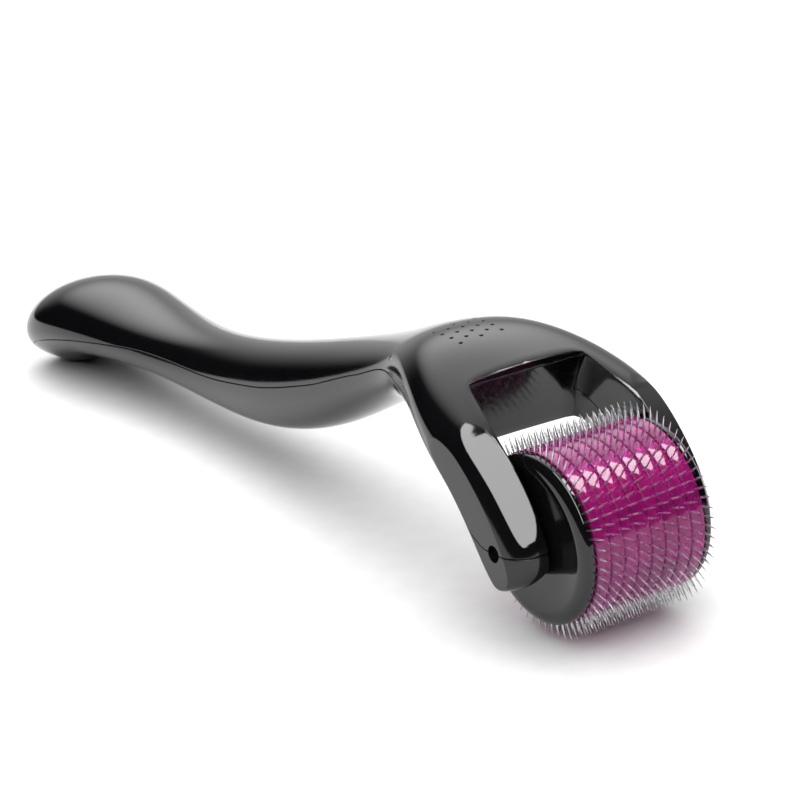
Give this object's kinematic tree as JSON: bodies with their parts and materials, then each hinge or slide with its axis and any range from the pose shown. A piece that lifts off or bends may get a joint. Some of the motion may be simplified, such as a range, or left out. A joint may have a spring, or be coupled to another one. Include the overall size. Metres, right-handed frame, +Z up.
{
  "type": "derma roller",
  "caption": "Hand-held skin roller: a curved two-shell handle whose fork carries a clear magenta drum that turns freely and is ringed with rows of fine steel needles.",
  "frame": {"origin": "on the surface that the roller rests on, under the middle of its bounding box", "axes": "+X forward from the handle's tail to the drum, +Y along the axle to the right arm, +Z up"},
  "size_m": [0.1369, 0.0286, 0.0296],
  "materials": {
    "shell_black": "injection-moulded black ABS with a polished gloss",
    "flange_black": "polished black plastic",
    "clear_magenta": "clear magenta polycarbonate, polished",
    "needle_steel": "bright stainless steel",
    "axle_steel": "ground stainless steel"
  },
  "bodies": {
    "handle": {"upper_shell": "shell_black", "lower_shell": "shell_black"},
    "drum": {"axle_pin": "axle_steel", "drum_core": "clear_magenta", "left_flange": "flange_black", "right_flange": "flange_black", "drum_disc_1": "clear_magenta", "drum_disc_2": "clear_magenta", "drum_disc_3": "clear_magenta", "drum_disc_4": "clear_magenta", "drum_disc_5": "clear_magenta", "drum_disc_6": "clear_magenta", "drum_disc_7": "clear_magenta", "drum_disc_8": "clear_magenta", "needle_ring_1": "needle_steel", "needle_ring_2": "needle_steel", "needle_ring_3": "needle_steel", "needle_ring_4": "needle_steel", "needle_ring_5": "needle_steel", "needle_ring_6": "needle_steel", "needle_ring_7": "needle_steel", "needle_ring_8": "needle_steel", "needle_ring_9": "needle_steel"}
  },
  "joints": [
    {"name": "drum_spin", "type": "hinge", "parent": "handle", "child": "drum", "pos_m": [0.0566, 0, 0.0119], "axis": [0, 1, 0], "continuous": true}
  ]
}
